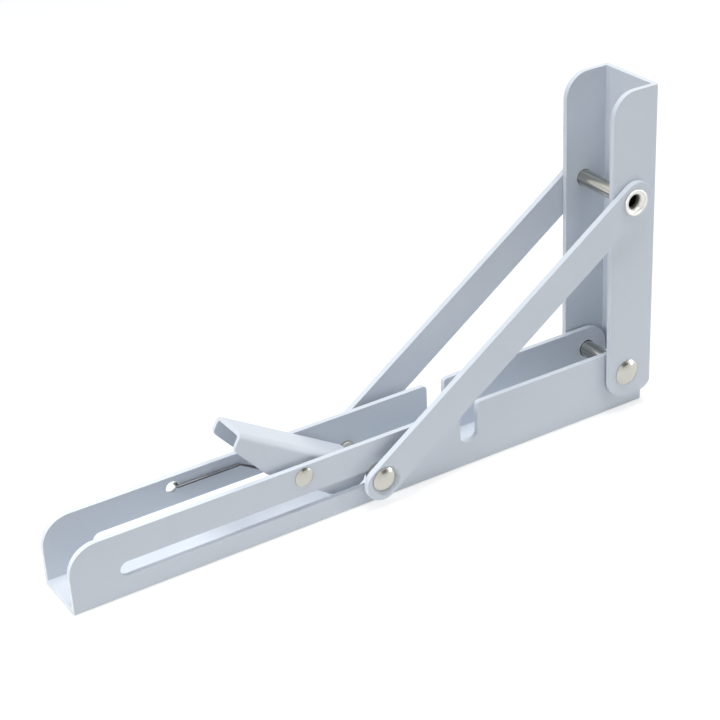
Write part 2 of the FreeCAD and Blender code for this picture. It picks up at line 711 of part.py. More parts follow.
def make_all():
    """Make every piece and return them in order."""
    fold = (FOLD_X, 0, FOLD_Z)
    slide = (SLIDE_X, 0, SLIDE_Z)
    lever = (LEVER_X, 0, LEVER_Z)
    pieces = [
        make_shelf_arm(),
        make_wall_channel(),
        make_cross_rivet(
            "fold_rivet", fold, "Sizes.fold_shaft_radius",
            "Sizes.fold_shaft_radius + Sizes.fold_head_rim", "Sizes.fold_head_dome", CHANNEL_SIDE,
        ),
        make_ring(
            "top_tube", (FOLD_X, 0, TUBE_Z), "Sizes.tube_radius", TUBE_BORE,
            f"-{CHANNEL_SIDE}", CHANNEL_SIDE,
        ),
        make_release_lever(),
        make_cross_rivet(
            "lever_rivet", lever, "Sizes.lever_shaft_radius",
            "Sizes.lever_shaft_radius + Sizes.lever_head_rim", "Sizes.lever_head_dome", ARM_SIDE,
        ),
        make_ring("lever_sleeve", lever, SLEEVE_RADIUS, LEVER_BORE, f"-{LEVER_INSIDE}", LEVER_INSIDE),
        make_lever_spring(),
    ]
    for word, side in (("near", -1), ("far", 1)):
        pieces += [
            make_strut(f"{word}_strut", side),
            make_tube_rim(f"{word}_tube_rim", side),
            make_slide_rivet(f"{word}_slide_rivet", side),
            make_ring(
                f"{word}_slide_washer", slide,
                "Sizes.slide_radius + Sizes.slide_washer_rim", "Sizes.slide_radius",
                f"{side} * ({ARM_SIDE} + Sizes.face_play)", f"{side} * ({DISH_INSIDE} - Sizes.face_play)",
            ),
            make_ring(
                f"{word}_fold_washer", fold,
                "Sizes.fold_shaft_radius + Sizes.fold_washer_rim", "Sizes.fold_shaft_radius",
                f"{side} * ({ARM_SIDE} + Sizes.face_play)", f"{side} * {CHANNEL_INSIDE}",
            ),
            make_ring(
                f"{word}_lever_washer", lever, f"{LEVER_BORE} + Sizes.lever_washer_rim", LEVER_BORE,
                f"{side} * {LEVER_SIDE}", f"{side} * ({ARM_INSIDE} - Sizes.face_play)",
            ),
        ]
    return pieces


def check_and_write(pieces):
    """Stop at any failed object; otherwise write each piece to a file with its own name."""
    doc.recompute()
    for item in doc.Objects:
        if "Invalid" in item.State or "Error" in item.State:
            raise RuntimeError(f"{item.Name} failed: {item.State}")
    for piece in pieces:
        shape = piece.Shape
        if shape.isNull() or not shape.isValid() or len(shape.Solids) != 1:
            raise RuntimeError(f"{piece.Label} is not one valid solid")
    os.makedirs("parts", exist_ok=True)
    for piece in pieces:
        piece.Shape.exportStep(f"parts/{piece.Label}.step")
        box = piece.Shape.BoundBox
        print(
            f"{piece.Label:18s} {piece.Shape.Volume:9.1f} mm3"
            f"  x {box.XMin:7.1f} {box.XMax:7.1f}  y {box.YMin:6.1f} {box.YMax:6.1f}"
            f"  z {box.ZMin:6.1f} {box.ZMax:6.1f}"
        )


check_and_write(make_all())
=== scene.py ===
"""Folding shelf bracket: rounds, finishes and lights the bracket on a pale floor."""
import json
import math
from typing import NamedTuple

import bmesh
import bpy
from mathutils import Matrix, Vector


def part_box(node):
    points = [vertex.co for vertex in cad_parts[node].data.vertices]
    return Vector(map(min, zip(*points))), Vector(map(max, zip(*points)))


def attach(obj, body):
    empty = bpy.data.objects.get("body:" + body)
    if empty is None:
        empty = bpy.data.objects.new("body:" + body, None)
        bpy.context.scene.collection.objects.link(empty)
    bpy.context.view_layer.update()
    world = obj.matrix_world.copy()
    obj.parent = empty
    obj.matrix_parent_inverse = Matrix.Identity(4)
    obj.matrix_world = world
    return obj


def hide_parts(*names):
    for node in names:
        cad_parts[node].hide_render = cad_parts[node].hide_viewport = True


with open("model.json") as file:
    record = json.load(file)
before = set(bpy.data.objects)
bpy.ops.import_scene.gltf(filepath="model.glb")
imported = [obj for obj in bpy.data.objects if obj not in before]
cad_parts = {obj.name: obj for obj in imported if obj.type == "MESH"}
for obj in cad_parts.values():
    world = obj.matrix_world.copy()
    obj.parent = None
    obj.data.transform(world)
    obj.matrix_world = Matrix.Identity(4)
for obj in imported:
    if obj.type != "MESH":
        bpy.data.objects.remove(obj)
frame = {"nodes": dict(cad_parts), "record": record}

bl_info = {
    "name": "Folding Shelf Bracket",
    "version": (1, 0, 0),
    "blender": (4, 5, 0),
    "location": "View3D > Sidebar > Bracket",
    "description": "Softens, finishes and lights a folding shelf bracket",
    "category": "Object",
}

# The way along Y from the bracket's middle to each side.
SIDES = {"near": -1, "far": 1}

# Points closer than this are merged, and faces flatter to each other than this become one.
MERGE_DISTANCE = 0.000002
FLAT_ANGLE = math.radians(0.5)
# Edges steeper than these are rounded on folded pieces, and shaded as creases on turned ones.
SHARP_ANGLE = math.radians(28)
CREASE_ANGLE = math.radians(35)
# How far large faces rule the shading of the rounded edges beside them, of 100.
FACE_WEIGHT = 80
# Faces across the rounded edges of the washers, the sleeve and the wire.
SMALL_STEPS = 2
# Faces from a head's rim to the top of its dome, and round the tube rim's lip and its throat.
DOME_STEPS = 16
LIP_STEPS = 20
THROAT_STEPS = 12
# The share of a head's upright rim that is cut back where it meets its seat.
SEAT_CHAMFER = 0.3
# A face belongs to the shaft when it is this close to the shaft's radius and its normal's share
# along Y is less than this.
SHAFT_SLACK = 0.00001
SHAFT_TILT = 0.5

# A coat's second ripples: how much finer than the first they are, and their share in its height.
FINE_RIPPLES = 3.7
FINE_SHARE = 0.35
# The middle of what a noise texture gives.
NOISE_MEAN = 0.5

WHITE = (1.0, 1.0, 1.0, 1.0)
SKY_COLOUR = (0.89, 0.94, 1.0, 1.0)
# The floor lights the bracket as one grey. Where it shows, another grey and a glow add up to white,
# apart from the bracket's shadow.
FLOOR_LIT = 0.8
FLOOR_SHOWN = 0.42
FLOOR_GLOW = 0.66
FLOOR_SIZE = (12.0, 12.0)
# The card stands right of the camera and faces the fold rivet's side of the bracket.
CARD_SIZE = (0.62, 0.34)
CARD_PLACE = (0.37, -0.84, 0.38)
CARD_TARGET = (0.1, 0.0, 0.02)
# The camera's sensor is in millimetres, like its lens.
SENSOR_WIDTH = 36.0
CLIP_START = 0.01


class Lamp(NamedTuple):
    """One lamp of the stage.

    Strength names its setting, lengths are in metres and a spot's full cone is in degrees.
    """

    strength: str
    size: float
    place: tuple
    target: tuple
    cone: float = 0.0


SPOT_PLACE = (-1.0, 0.0, 0.36)
SPOT_BLEND = 0.8
LAMPS = {
    "top_lamp": Lamp("top_light", 0.8, (0.25, -0.05, 1.7), (0.0, 0.0, 0.05)),
    "front_lamp": Lamp("front_light", 0.8, (0.5, -0.75, 0.7), (0.05, 0.0, 0.06)),
    "side_lamp": Lamp("side_light", 0.7, (-1.5, -0.04, 0.72), (0.0, 0.0, 0.05)),
    "glint_lamp": Lamp("glint_light", 0.22, (1.0, -0.55, 0.22), (0.1, 0.0, 0.06)),
    "low_spot": Lamp("low_spot", 0.05, SPOT_PLACE, (-0.05, 0.0, 0.0), cone=11.0),
    "under_spot": Lamp("under_spot", 0.01, SPOT_PLACE, (-0.038, 0.0, 0.0025), cone=1.9),
}


class BracketSizes(bpy.types.PropertyGroup):
    """How far edges are rounded, and the sizes that a node's box doesn't give."""

    sheet_edge: bpy.props.FloatProperty(
        name="Sheet edge", description="Rounding of the cut edges of the channels and struts",
        default=0.00032, min=0.0, unit="LENGTH",
    )
    lever_edge: bpy.props.FloatProperty(
        name="Lever edge", description="Rounding of the cut edges of the release lever",
        default=0.00035, min=0.0, unit="LENGTH",
    )
    washer_edge: bpy.props.FloatProperty(
        name="Washer edge", description="Rounding of the rims of washers and sleeve",
        default=0.00012, min=0.0, unit="LENGTH",
    )
    wire_edge: bpy.props.FloatProperty(
        name="Wire edge", description="Rounding of the spring wire's ends",
        default=0.00008, min=0.0, unit="LENGTH",
    )
    edge_steps: bpy.props.IntProperty(
        name="Edge steps", description="Faces across each rounded edge", default=3, min=1, max=8,
    )
    turn_steps: bpy.props.IntProperty(
        name="Turn steps", description="Faces round each rivet and the tube",
        default=96, min=12, max=256,
    )
    fold_shaft: bpy.props.FloatProperty(
        name="Fold shaft", description="Radius of the fold rivet's shaft",
        default=0.004, min=0.0001, unit="LENGTH",
    )
    slide_shaft: bpy.props.FloatProperty(
        name="Slide shaft", description="Radius of the slide rivets' shafts",
        default=0.00348, min=0.0001, unit="LENGTH",
    )
    lever_shaft: bpy.props.FloatProperty(
        name="Lever shaft", description="Radius of the lever rivet's shaft",
        default=0.0025, min=0.0001, unit="LENGTH",
    )
    tube_wall: bpy.props.FloatProperty(
        name="Tube wall", description="Thickness of the top tube's wall",
        default=0.001, min=0.0001, unit="LENGTH",
    )
    sheet_gauge: bpy.props.FloatProperty(
        name="Sheet gauge", description="Thickness of the channels' sheet",
        default=0.0025, min=0.0001, unit="LENGTH",
    )
    strut_gauge: bpy.props.FloatProperty(
        name="Strut gauge", description="Thickness of the struts",
        default=0.003, min=0.0001, unit="LENGTH",
    )
    coil_reach: bpy.props.FloatProperty(
        name="Coil reach",
        description="Radius about the lever's rivet that the spring's coil stays within",
        default=0.0054, min=0.0001, unit="LENGTH",
    )
    hole_shade: bpy.props.FloatProperty(
        name="Hole shade", description="Ring of shade left between a shaft and its hole",
        default=0.0002, min=0.0, unit="LENGTH",
    )
    collar: bpy.props.FloatProperty(
        name="Collar", description="How far the slide rivets' inner collars stand out",
        default=0.0008, min=0.0, unit="LENGTH",
    )
    head_rim: bpy.props.FloatProperty(
        name="Head rim", description="Height of the upright rim under each rivet's dome",
        default=0.00035, min=0.0, unit="LENGTH",
    )


class BracketFinish(bpy.types.PropertyGroup):
    """Colours and finishes of paint and metal."""

    paint: bpy.props.FloatVectorProperty(
        name="Paint", description="Colour of the powder coat", subtype="COLOR",
        size=3, default=(0.70, 0.745, 0.805), min=0.0, max=1.0,
    )
    paint_roughness: bpy.props.FloatProperty(
        name="Paint roughness", description="How matt the powder coat is",
        subtype="FACTOR", default=0.42, min=0.0, max=1.0,
    )
    peel_width: bpy.props.FloatProperty(
        name="Peel width", description="Width of the ripples in the powder coat",
        default=0.0016, min=0.0001, unit="LENGTH",
    )
    nickel: bpy.props.FloatVectorProperty(
        name="Nickel", description="Colour of the plated rivet heads and washers", subtype="COLOR",
        size=3, default=(0.54, 0.53, 0.485), min=0.0, max=1.0,
    )
    # Paler than the nickel plate: a painted highlight on the tube's rolled rims.
    rim: bpy.props.FloatVectorProperty(
        name="Rim", description="Colour of the top tube's rims, burnished by the rolling",
        subtype="COLOR", size=3, default=(0.80, 0.80, 0.77), min=0.0, max=1.0,
    )
    rim_roughness: bpy.props.FloatProperty(
        name="Rim roughness", description="How dull the rolled rims are",
        subtype="FACTOR", default=0.36, min=0.0, max=1.0,
    )
    # Darker than the nickel plate: painted shade on the shafts and the tube, which sit between the
    # flanges.
    shaft: bpy.props.FloatVectorProperty(
        name="Shaft", description="Colour of the drawn shafts and the tube", subtype="COLOR",
        size=3, default=(0.46, 0.45, 0.41), min=0.0, max=1.0,
    )
    nickel_roughness: bpy.props.FloatProperty(
        name="Nickel roughness", description="How dull the plating is",
        subtype="FACTOR", default=0.24, min=0.0, max=1.0,
    )
    spring: bpy.props.FloatVectorProperty(
        name="Spring", description="Colour of the spring wire", subtype="COLOR",
        size=3, default=(0.16, 0.16, 0.17), min=0.0, max=1.0,
    )


class BracketStage(bpy.types.PropertyGroup):
    """Camera, floor, card, lamps and sky."""

    eye: bpy.props.FloatVectorProperty(
        name="Eye", description="Where the camera stands", subtype="TRANSLATION",
        size=3, default=(-0.3602, -0.6081, 0.4474),
    )
    heading: bpy.props.FloatProperty(
        name="Heading", description="Turn of the view from +Y towards +X",
        subtype="ANGLE", default=math.radians(30.675),
    )
    dip: bpy.props.FloatProperty(
        name="Dip", description="How far the view looks down",
        subtype="ANGLE", default=math.radians(28.505),
    )
    roll: bpy.props.FloatProperty(
        name="Roll", description="Tilt of the camera about its own view",
        subtype="ANGLE", default=math.radians(-3.137),
    )
    lens: bpy.props.FloatProperty(
        name="Lens", description="Focal length for a 36 mm wide picture",
        subtype="DISTANCE_CAMERA", default=92.54, min=1.0,
    )
    floor_drop: bpy.props.FloatProperty(
        name="Floor drop",
        description="How far the floor lies under the shelf face, so the two never mix",
        unit="LENGTH", default=0.0001, min=0.0,
    )
    card_shade: bpy.props.FloatProperty(
        name="Card shade",
        description="Grey of the board that the rivet heads mirror as their dark patch",
        subtype="FACTOR", default=0.04, min=0.0, max=1.0,
    )
    top_light: bpy.props.FloatProperty(
        name="Top light", description="Strength of the large lamp above",
        default=20.0, min=0.0, unit="POWER",
    )
    front_light: bpy.props.FloatProperty(
        name="Front light", description="Strength of the lamp in front, to the right of the camera",
        default=0.9, min=0.0, unit="POWER",
    )
    side_light: bpy.props.FloatProperty(
        name="Side light", description="Strength of the lamp beyond the shelf arm's tip",
        default=8.0, min=0.0, unit="POWER",
    )
    glint_light: bpy.props.FloatProperty(
        name="Glint light", description="Strength of the small lamp that the rivet heads mirror",
        default=1.45, min=0.0, unit="POWER",
    )
    low_spot: bpy.props.FloatProperty(
        name="Low spot", description="Strength of the narrow lamp that shines along the shelf arm",
        default=10.0, min=0.0, unit="POWER",
    )
    under_spot: bpy.props.FloatProperty(
        name="Under spot",
        description="Strength of the very narrow lamp that reaches under the release lever",
        default=60.0, min=0.0, unit="POWER",
    )
    sky: bpy.props.FloatProperty(
        name="Sky", description="Strength of the even light all round", default=0.29, min=0.0,
    )


def new_node(tree, kind, inputs=None, **settings):
    """A node with its settings and its unlinked inputs filled in."""
    node = tree.nodes.new(kind)
    for name, setting in settings.items():
        setattr(node, name, setting)
    for name, amount in (inputs or {}).items():
        node.inputs[name].default_value = amount
    return node


def new_group(name, inputs, outputs):
    """A shader group with number, colour or vector sockets, and its two end nodes."""
    group = bpy.data.node_groups.new(name, "ShaderNodeTree")
    kinds = {"number": "NodeSocketFloat", "colour": "NodeSocketColor", "vector": "NodeSocketVector"}
    for label, kind, default in inputs:
        socket = group.interface.new_socket(label, in_out="INPUT", socket_type=kinds[kind])
        if default is not None:
            socket.default_value = default
    for label, kind in outputs:
        group.interface.new_socket(label, in_out="OUTPUT", socket_type=kinds[kind])
    return group, group.nodes.new("NodeGroupInput"), group.nodes.new("NodeGroupOutput")


def place_group(tree, group, vector, **inputs):
    """Put a shader group in a material, fed with the pattern's coordinates."""
    node = tree.nodes.new("ShaderNodeGroup")
    node.node_tree = group
    tree.links.new(vector, node.inputs["Vector"])
    for name, amount in inputs.items():
        node.inputs[name.replace("_", " ")].default_value = amount
    return node


def peel_group():
    """Ripples of a sprayed or powder coat, with faint cloudiness in its colour."""
    group, start, end = new_group(
        "Coat peel",
        [("Vector", "vector", None), ("Colour", "colour", (0.7, 0.7, 0.7, 1.0)),
         ("Ripple scale", "number", 600.0), ("Cloud amount", "number", 0.03)],
        [("Colour", "colour"), ("Height", "number")],
    )
    link = group.links.new
    ripple = new_node(group, "ShaderNodeTexNoise", {"Detail": 2.0, "Roughness": 0.45})
    fine = new_node(group, "ShaderNodeTexNoise", {"Detail": 1.0, "Roughness": 0.5})
    finer = new_node(group, "ShaderNodeMath", {1: FINE_RIPPLES}, operation="MULTIPLY")
    blend = new_node(group, "ShaderNodeMath", {1: FINE_SHARE}, operation="MULTIPLY_ADD")
    cloud = new_node(group, "ShaderNodeTexNoise", {"Scale": 22.0, "Detail": 3.0, "Roughness": 0.55})
    centre = new_node(group, "ShaderNodeMath", {1: NOISE_MEAN}, operation="SUBTRACT")
    swing = new_node(group, "ShaderNodeMath", operation="MULTIPLY")
    lift = new_node(group, "ShaderNodeMath", {1: 1.0}, operation="ADD")
    tint = new_node(group, "ShaderNodeVectorMath", operation="SCALE")
    for noise in (ripple, fine, cloud):
        link(start.outputs["Vector"], noise.inputs["Vector"])
    link(start.outputs["Ripple scale"], ripple.inputs["Scale"])
    link(start.outputs["Ripple scale"], finer.inputs[0])
    link(finer.outputs[0], fine.inputs["Scale"])
    link(fine.outputs["Fac"], blend.inputs[0])
    link(ripple.outputs["Fac"], blend.inputs[2])
    link(blend.outputs[0], end.inputs["Height"])
    link(cloud.outputs["Fac"], centre.inputs[0])
    link(centre.outputs[0], swing.inputs[0])
    link(start.outputs["Cloud amount"], swing.inputs[1])
    link(swing.outputs[0], lift.inputs[0])
    link(start.outputs["Colour"], tint.inputs[0])
    link(lift.outputs[0], tint.inputs["Scale"])
    link(tint.outputs[0], end.inputs["Colour"])
    return group


def scuff_group():
    """Fine handling marks: sparse short scratches and dull patches, as a roughness."""
    group, start, end = new_group(
        "Handling scuffs",
        [("Vector", "vector", None), ("Roughness", "number", 0.4),
         ("Scratch scale", "number", 300.0), ("Amount", "number", 0.1)],
        [("Roughness", "number")],
    )
    link = group.links.new
    stretch = new_node(
        group, "ShaderNodeMapping", {"Rotation": (0.2, 0.5, 0.35), "Scale": (0.16, 1.0, 1.0)},
    )
    scratch = new_node(group, "ShaderNodeTexNoise", {"Detail": 4.0, "Roughness": 0.7})
    thin = new_node(group, "ShaderNodeMapRange", {"From Min": 0.62, "From Max": 0.74})
    patch = new_node(group, "ShaderNodeTexNoise", {"Scale": 60.0, "Detail": 3.0, "Roughness": 0.6})
    both = new_node(group, "ShaderNodeMath", operation="ADD")
    scaled = new_node(group, "ShaderNodeMath", operation="MULTIPLY")
    total = new_node(group, "ShaderNodeMath", operation="ADD", use_clamp=True)
    link(start.outputs["Vector"], stretch.inputs["Vector"])
    link(stretch.outputs["Vector"], scratch.inputs["Vector"])
    link(start.outputs["Scratch scale"], scratch.inputs["Scale"])
    link(scratch.outputs["Fac"], thin.inputs["Value"])
    link(start.outputs["Vector"], patch.inputs["Vector"])
    link(thin.outputs["Result"], both.inputs[0])
    link(patch.outputs["Fac"], both.inputs[1])
    link(both.outputs[0], scaled.inputs[0])
    link(start.outputs["Amount"], scaled.inputs[1])
    link(scaled.outputs[0], total.inputs[0])
    link(start.outputs["Roughness"], total.inputs[1])
    link(total.outputs[0], end.inputs["Roughness"])
    return group


def group_once(name, make):
    """The shader group with that name, made the first time it is asked for."""
    return bpy.data.node_groups.get(name) or make()


def empty_tree(owner, end):
    """The node tree of a material or a world, with nothing in it but its output node."""
    owner.use_nodes = True
    tree = owner.node_tree
    tree.nodes.clear()
    return tree, tree.nodes.new(end)


def new_material(name):
    """A material with a Principled shader, its node tree and its Object coordinates."""
    material = bpy.data.materials.new(name)
    tree, surface = empty_tree(material, "ShaderNodeOutputMaterial")
    shader = tree.nodes.new("ShaderNodeBsdfPrincipled")
    coordinates = tree.nodes.new("ShaderNodeTexCoord")
    tree.links.new(shader.outputs[0], surface.inputs["Surface"])
    return material, tree, shader, coordinates.outputs["Object"]


def coat_material(
    name, colour, roughness, polish, ripple_scale, cloud, scratch_scale, scuff, bump=None,
):
    """A material with a cloudy colour and scuffed roughness, and its shader.

    Polish is how much smoother than its roughness a spot without scuffs is, and scuff is how much
    rougher scuffs make it. Bump holds the inputs of its Bump node, where its ripples stand out.
    """
    material, tree, shader, place = new_material(name)
    link = tree.links.new
    peel = place_group(
        tree, group_once("Coat peel", peel_group), place,
        Colour=(*colour, 1.0), Ripple_scale=ripple_scale, Cloud_amount=cloud,
    )
    scuffs = place_group(
        tree, group_once("Handling scuffs", scuff_group), place,
        Roughness=roughness - polish, Scratch_scale=scratch_scale, Amount=scuff,
    )
    link(peel.outputs["Colour"], shader.inputs["Base Color"])
    link(scuffs.outputs["Roughness"], shader.inputs["Roughness"])
    if bump:
        raised = new_node(tree, "ShaderNodeBump", bump)
        link(peel.outputs["Height"], raised.inputs["Height"])
        link(raised.outputs["Normal"], shader.inputs["Normal"])
    return material, shader


def paint_material(finish):
    """Pale satin powder coat with a fine peel and a few dull handling marks."""
    material, shader = coat_material(
        "Powder coat", finish.paint, finish.paint_roughness, polish=0.05,
        ripple_scale=1.0 / finish.peel_width, cloud=0.035, scratch_scale=260.0, scuff=0.08,
        bump={"Strength": 0.35, "Distance": 0.00004},
    )
    shader.inputs["Specular IOR Level"].default_value = 0.45
    shader.inputs["Coat Weight"].default_value = 0.12
    shader.inputs["Coat Roughness"].default_value = 0.25
    return material


def plated_material(name, colour, roughness):
    """A bright plated metal with fine scratches and a little cloudiness."""
    material, shader = coat_material(
        name, colour, roughness, polish=0.06, ripple_scale=900.0, cloud=0.16,
        scratch_scale=1400.0, scuff=0.14, bump={"Strength": 0.25, "Distance": 0.00003},
    )
    shader.inputs["Metallic"].default_value = 1.0
    return material


def nickel_material(finish):
    """The plate on rivet heads, washers and sleeve."""
    return plated_material("Nickel plate", finish.nickel, finish.nickel_roughness)


def rim_material(finish):
    """The same plate, duller where the tube's ends were rolled, and paler as a painted highlight.
    """
    return plated_material("Burnished rim", finish.rim, finish.rim_roughness)


def shaft_material(finish):
    """Drawn and plated bar with long streaks across the bracket; darker than the heads: painted
    shade.
    """
    material, tree, shader, place = new_material("Drawn shaft")
    stretch = new_node(tree, "ShaderNodeMapping", {"Scale": (1.0, 0.03, 1.0)})
    streak = new_node(tree, "ShaderNodeTexNoise", {"Scale": 700.0, "Detail": 4.0, "Roughness": 0.6})
    spread = new_node(
        tree, "ShaderNodeMapRange",
        {"From Min": 0.35, "From Max": 0.65, "To Min": 0.7, "To Max": 1.5},
    )
    tint = new_node(tree, "ShaderNodeVectorMath", operation="SCALE")
    bump = new_node(tree, "ShaderNodeBump", {"Strength": 0.4, "Distance": 0.00003})
    tint.inputs[0].default_value = finish.shaft
    link = tree.links.new
    link(place, stretch.inputs["Vector"])
    link(stretch.outputs["Vector"], streak.inputs["Vector"])
    link(streak.outputs["Fac"], spread.inputs["Value"])
    link(spread.outputs["Result"], tint.inputs["Scale"])
    link(tint.outputs[0], shader.inputs["Base Color"])
    link(streak.outputs["Fac"], bump.inputs["Height"])
    link(bump.outputs["Normal"], shader.inputs["Normal"])
    shader.inputs["Roughness"].default_value = 0.2
    shader.inputs["Metallic"].default_value = 1.0
    return material


def spring_material(finish):
    """Drawn spring wire: darker bare steel with drawing lines."""
    material, shader = coat_material(
        "Spring wire", finish.spring, roughness=0.28, polish=0.0, ripple_scale=1600.0, cloud=0.3,
        scratch_scale=2200.0, scuff=0.2,
    )
    shader.inputs["Metallic"].default_value = 1.0
    return material


def finish_of(name, make):
    """The material with that name, made the first time it is asked for."""
    return bpy.data.materials.get(name) or make(bpy.context.scene.bracket_finish)


def grey(shade):
    """A grey as a colour socket takes it."""
    return (shade, shade, shade, 1.0)


def show_background(tree, surface, lit, shown):
    """Give a surface one shader to be lit by, and one where the background shows.

    The background shows to the camera, in mirrors and through glass.
    """
    link = tree.links.new
    rays = tree.nodes.new("ShaderNodeLightPath")
    showing = rays.outputs["Is Camera Ray"]
    for label in ("Is Glossy Ray", "Is Transmission Ray"):
        either = new_node(tree, "ShaderNodeMath", operation="MAXIMUM")
        link(showing, either.inputs[0])
        link(rays.outputs[label], either.inputs[1])
        showing = either.outputs[0]
    choose = tree.nodes.new("ShaderNodeMixShader")
    link(showing, choose.inputs[0])
    link(lit.outputs[0], choose.inputs[1])
    link(shown.outputs[0], choose.inputs[2])
    link(choose.outputs[0], surface.inputs["Surface"])


def floor_material():
    """A pale floor that shows as white where nothing shades it."""
    material = bpy.data.materials.new("Pale floor")
    tree, surface = empty_tree(material, "ShaderNodeOutputMaterial")
    lit = new_node(tree, "ShaderNodeBsdfDiffuse", {"Color": grey(FLOOR_LIT)})
    dim = new_node(tree, "ShaderNodeBsdfDiffuse", {"Color": grey(FLOOR_SHOWN)})
    glow = new_node(tree, "ShaderNodeEmission", {"Color": WHITE, "Strength": FLOOR_GLOW})
    both = tree.nodes.new("ShaderNodeAddShader")
    tree.links.new(dim.outputs[0], both.inputs[0])
    tree.links.new(glow.outputs[0], both.inputs[1])
    show_background(tree, surface, lit, both)
    return material


def card_material(shade):
    """Plain matt grey board."""
    material = bpy.data.materials.new("Grey board")
    tree, surface = empty_tree(material, "ShaderNodeOutputMaterial")
    board = new_node(tree, "ShaderNodeBsdfDiffuse", {"Color": grey(shade)})
    tree.links.new(board.outputs[0], surface.inputs["Surface"])
    return material


def body_of_node(node):
    """The body that a node of the frame moves with."""
    for body, nodes in frame["record"]["behaviour"]["bodies"].items():
        if node in nodes:
            return body
    raise RuntimeError(f"{node} is on no body")


def half_width(node):
    """Half of a node's size along X, which is the radius of a round one."""
    low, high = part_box(node)
    return (high.x - low.x) / 2


def cross_ends(node, way):
    """Where a node begins and ends along Y, seen from the bracket's middle."""
    low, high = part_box(node)
    return (high.y, low.y) if way < 0 else (low.y, high.y)


def new_object(name, data):
    """An object of the scene that holds a mesh, a lamp or a camera."""
    holder = bpy.data.objects.new(name, data)
    bpy.context.scene.collection.objects.link(holder)
    return holder


def soften_node(node, name, width, steps, material):
    """A copy of a node's mesh with its sharp edges rounded, which stands for the node."""
    mesh = frame["nodes"][node].data.copy()
    mesh.name = name
    shape = bmesh.new()
    shape.from_mesh(mesh)
    bmesh.ops.remove_doubles(shape, verts=shape.verts, dist=MERGE_DISTANCE)
    bmesh.ops.dissolve_limit(
        shape, angle_limit=FLAT_ANGLE, verts=shape.verts, edges=shape.edges, delimit={"NORMAL"},
    )
    sharp = [
        edge for edge in shape.edges
        if len(edge.link_faces) == 2 and edge.calc_face_angle() > SHARP_ANGLE
    ]
    bmesh.ops.bevel(
        shape, geom=sharp, offset=width, offset_type="OFFSET", affect="EDGES", segments=steps,
        profile=0.5, clamp_overlap=True, material=-1, loop_slide=True,
    )
    bmesh.ops.remove_doubles(shape, verts=shape.verts, dist=MERGE_DISTANCE)
    for face in shape.faces:
        face.smooth = True
    shape.to_mesh(mesh)
    shape.free()
    mesh.materials.clear()
    mesh.materials.append(material)
    piece = new_object(name, mesh)
    weights = piece.modifiers.new("Even shading", "WEIGHTED_NORMAL")
    weights.weight = FACE_WEIGHT
    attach(piece, body_of_node(node))
    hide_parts(node)
    return piece


def keep_faces(mesh, wanted):
    """Delete a mesh's faces whose middle fails the test, and close the holes that this opens."""
    shape = bmesh.new()
    shape.from_mesh(mesh)
    dropped = [face for face in shape.faces if not wanted(face.calc_center_median())]
    if not dropped or len(dropped) == len(shape.faces):
        raise RuntimeError(f"{mesh.name} isn't divided")
    bmesh.ops.delete(shape, geom=dropped, context="FACES")
    open_edges = [edge for edge in shape.edges if edge.is_boundary]
    bmesh.ops.holes_fill(shape, edges=open_edges, sides=0)
    bmesh.ops.recalc_face_normals(shape, faces=shape.faces)
    shape.to_mesh(mesh)
    shape.free()


def spin_piece(name, node, profile, materials, shaft=0.0):
    """A piece turned from (radius, y) points about its node's own axis along Y.

    Faces no further from the axis than the shaft's radius take the last of the materials.
    """
    low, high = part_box(node)
    middle = (low + high) / 2
    shape = bmesh.new()
    points = [shape.verts.new((middle.x + radius, along, middle.z)) for radius, along in profile]
    for start, end in zip(points, points[1:]):
        shape.edges.new((start, end))
    bmesh.ops.spin(
        shape, geom=shape.verts[:] + shape.edges[:],
        cent=(middle.x, 0.0, middle.z), axis=(0.0, 1.0, 0.0), angle=2 * math.pi,
        steps=bpy.context.scene.bracket_sizes.turn_steps, use_merge=True,
    )
    bmesh.ops.remove_doubles(shape, verts=shape.verts, dist=MERGE_DISTANCE)
    bmesh.ops.recalc_face_normals(shape, faces=shape.faces)
    for face in shape.faces:
        face.smooth = True
        reach = max(math.hypot(vert.co.x - middle.x, vert.co.z - middle.z) for vert in face.verts)
        if reach < shaft + SHAFT_SLACK and abs(face.normal.y) < SHAFT_TILT:
            face.material_index = len(materials) - 1
    mesh = bpy.data.meshes.new(name)
    shape.to_mesh(mesh)
    shape.free()
    mesh.set_sharp_from_angle(angle=CREASE_ANGLE)
    for material in materials:
        mesh.materials.append(material)
    piece = new_object(name, mesh)
    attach(piece, body_of_node(node))
    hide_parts(node)
    return piece


def arc_points(middle, radii, begin, finish, steps):
    """Points of an elliptic arc in the (radius, y) plane, angles in degrees."""
    points = []
    for step in range(steps + 1):
        angle = math.radians(begin + (finish - begin) * step / steps)
        across = middle[0] + radii[0] * math.cos(angle)
        points.append((across, middle[1] + radii[1] * math.sin(angle)))
    return points


def dome_points(radius, seat, rim, top):
    """A rivet head's outline from its seat out to its rim and over the dome to the axis."""
    side = 1 if top > seat else -1
    base = seat + side * rim
    rise = abs(top - base)
    sphere = (radius * radius + rise * rise) / (2 * rise)
    sweep = math.asin(radius / sphere)
    cut = SEAT_CHAMFER * rim
    points = [(radius - cut, seat), (radius, seat + side * cut), (radius, base)]
    for step in range(1, DOME_STEPS + 1):
        angle = sweep * (1 - step / DOME_STEPS)
        drop = sphere - sphere * math.cos(angle)
        points.append((sphere * math.sin(angle), top - side * drop))
    return points


def add_sheet(name, size, material, place):
    """A flat rectangle of the stage, at a place given as a matrix."""
    shape = bmesh.new()
    bmesh.ops.create_grid(shape, x_segments=1, y_segments=1, size=0.5)
    bmesh.ops.scale(shape, vec=(*size, 1.0), verts=shape.verts)
    mesh = bpy.data.meshes.new(name)
    shape.to_mesh(mesh)
    shape.free()
    mesh.materials.append(material)
    sheet = new_object(name, mesh)
    sheet.matrix_world = place
    return sheet


